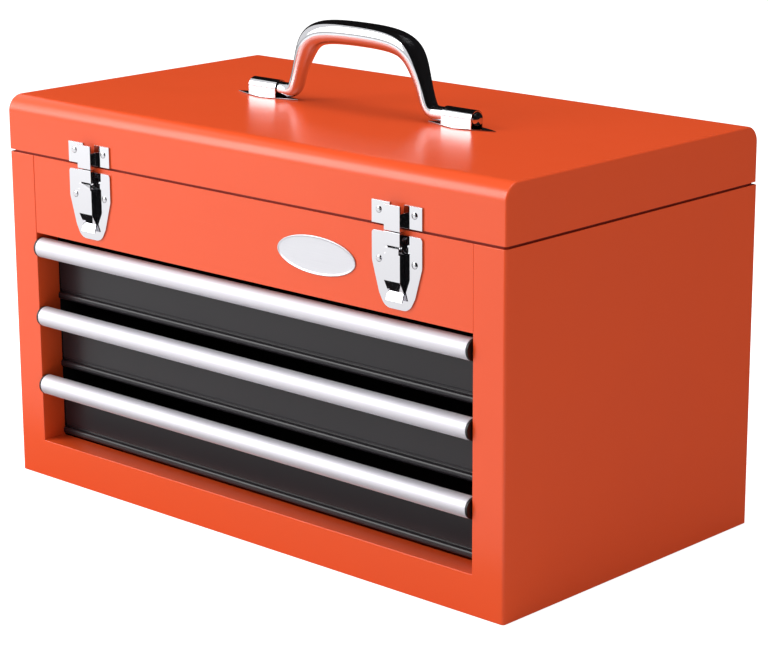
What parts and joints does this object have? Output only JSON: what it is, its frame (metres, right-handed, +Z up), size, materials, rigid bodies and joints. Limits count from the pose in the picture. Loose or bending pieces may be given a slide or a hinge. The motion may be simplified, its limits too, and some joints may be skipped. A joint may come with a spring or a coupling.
{
  "type": "portable tool box with drawers",
  "caption": "Portable steel tool box with a hinged lid over a tray, drawers with full-width pulls, draw latches and a swinging bail handle.",
  "frame": {"origin": "middle of the flat underside of the case", "axes": "+Z up, +X along the width to the right seen from the front, the front with the drawers faces -Y"},
  "size_m": [0.52, 0.3005, 0.3803],
  "materials": {
    "case_paint": "semi-gloss powder coat, orange red",
    "drawer_paint": "semi-gloss black powder coat",
    "pull_aluminium": "satin anodised extrusion",
    "cap_plastic": "moulded black plastic",
    "zinc_steel": "zinc plated sheet steel",
    "chrome": "bright chrome plate",
    "badge_metal": "bare satin plate"
  },
  "bodies": {
    "case": {"case_shell": "case_paint", "bottom_pan": "case_paint", "tray_floor": "case_paint", "back_panel": "case_paint", "front_rail": "case_paint", "rim_lip": "case_paint", "slide_panel_left": "drawer_paint", "slide_panel_right": "drawer_paint", "slide_channels_bottom": "drawer_paint", "slide_channels_middle": "drawer_paint", "slide_channels_top": "drawer_paint", "hinge_leaf_case": "zinc_steel", "hinge_rivets_case": "zinc_steel", "hinge_pin": "zinc_steel", "latch_base_left": "chrome", "latch_base_right": "chrome", "latch_lever_pins": "chrome", "latch_rivets_case": "chrome", "badge_plate": "badge_metal", "stay_studs_case": "zinc_steel"},
    "lid": {"lid_shell": "case_paint", "lid_end_left": "case_paint", "lid_end_right": "case_paint", "hinge_leaf_lid": "zinc_steel", "hinge_rivets_lid": "zinc_steel", "handle_saddle_left": "chrome", "handle_saddle_right": "chrome", "latch_keeper_left": "chrome", "latch_keeper_right": "chrome", "latch_rivets_lid": "chrome", "stay_rivets_lid": "zinc_steel"},
    "handle": {"handle_bail": "chrome"},
    "drawer_bottom": {"drawer_box_bottom": "drawer_paint", "drawer_front_bottom": "drawer_paint", "drawer_pull_bottom": "pull_aluminium", "pull_caps_bottom": "cap_plastic", "drawer_runners_bottom": "zinc_steel"},
    "drawer_middle": {"drawer_box_middle": "drawer_paint", "drawer_front_middle": "drawer_paint", "drawer_pull_middle": "pull_aluminium", "pull_caps_middle": "cap_plastic", "drawer_runners_middle": "zinc_steel"},
    "drawer_top": {"drawer_box_top": "drawer_paint", "drawer_front_top": "drawer_paint", "drawer_pull_top": "pull_aluminium", "pull_caps_top": "cap_plastic", "drawer_runners_top": "zinc_steel"},
    "lid_stay_left": {"lid_stay_left": "zinc_steel"},
    "latch_lever_left": {"latch_lever_left": "chrome"},
    "latch_claw_left": {"latch_claw_left": "chrome", "latch_claw_pin_left": "chrome"},
    "lid_stay_right": {"lid_stay_right": "zinc_steel"},
    "latch_lever_right": {"latch_lever_right": "chrome"},
    "latch_claw_right": {"latch_claw_right": "chrome", "latch_claw_pin_right": "chrome"}
  },
  "joints": [
    {"name": "lid_hinge", "type": "hinge", "parent": "case", "child": "lid", "pos_m": [0, 0.1472, 0.268], "axis": [-1, 0, 0], "range_deg": [0, 95]},
    {"name": "handle_swing", "type": "hinge", "parent": "lid", "child": "handle", "pos_m": [0, -0.009, 0.3196], "axis": [1, 0, 0], "range_deg": [-85, 85]},
    {"name": "drawer_bottom_slide", "type": "slide", "parent": "case", "child": "drawer_bottom", "axis": [0, -1, 0], "range_m": [0, 0.19]},
    {"name": "drawer_middle_slide", "type": "slide", "parent": "case", "child": "drawer_middle", "axis": [0, -1, 0], "range_m": [0, 0.19]},
    {"name": "drawer_top_slide", "type": "slide", "parent": "case", "child": "drawer_top", "axis": [0, -1, 0], "range_m": [0, 0.19]},
    {"name": "stay_pivot_left", "type": "hinge", "parent": "lid", "child": "lid_stay_left", "pos_m": [-0.25475, 0.1175, 0.2977], "axis": [-1, 0, 0], "range_deg": [-47.5, 0]},
    {"name": "latch_lever_turn_left", "type": "hinge", "parent": "case", "child": "latch_lever_left", "pos_m": [-0.162, -0.147, 0.258], "axis": [-1, 0, 0], "range_deg": [0, 85]},
    {"name": "latch_claw_turn_left", "type": "hinge", "parent": "latch_lever_left", "child": "latch_claw_left", "pos_m": [-0.162, -0.147, 0.252], "axis": [-1, 0, 0], "range_deg": [-95, 0]},
    {"name": "stay_pivot_right", "type": "hinge", "parent": "lid", "child": "lid_stay_right", "pos_m": [0.25475, 0.1175, 0.2977], "axis": [-1, 0, 0], "range_deg": [-47.5, 0]},
    {"name": "latch_lever_turn_right", "type": "hinge", "parent": "case", "child": "latch_lever_right", "pos_m": [0.162, -0.147, 0.258], "axis": [-1, 0, 0], "range_deg": [0, 85]},
    {"name": "latch_claw_turn_right", "type": "hinge", "parent": "latch_lever_right", "child": "latch_claw_right", "pos_m": [0.162, -0.147, 0.252], "axis": [-1, 0, 0], "range_deg": [-95, 0]}
  ],
  "couplings": [
    {"joint": "stay_pivot_left", "follows": "lid_hinge", "ratio": -0.5},
    {"joint": "latch_claw_turn_left", "follows": "latch_lever_turn_left", "ratio": -1.05},
    {"joint": "stay_pivot_right", "follows": "lid_hinge", "ratio": -0.5},
    {"joint": "latch_claw_turn_right", "follows": "latch_lever_turn_right", "ratio": -1.05}
  ]
}
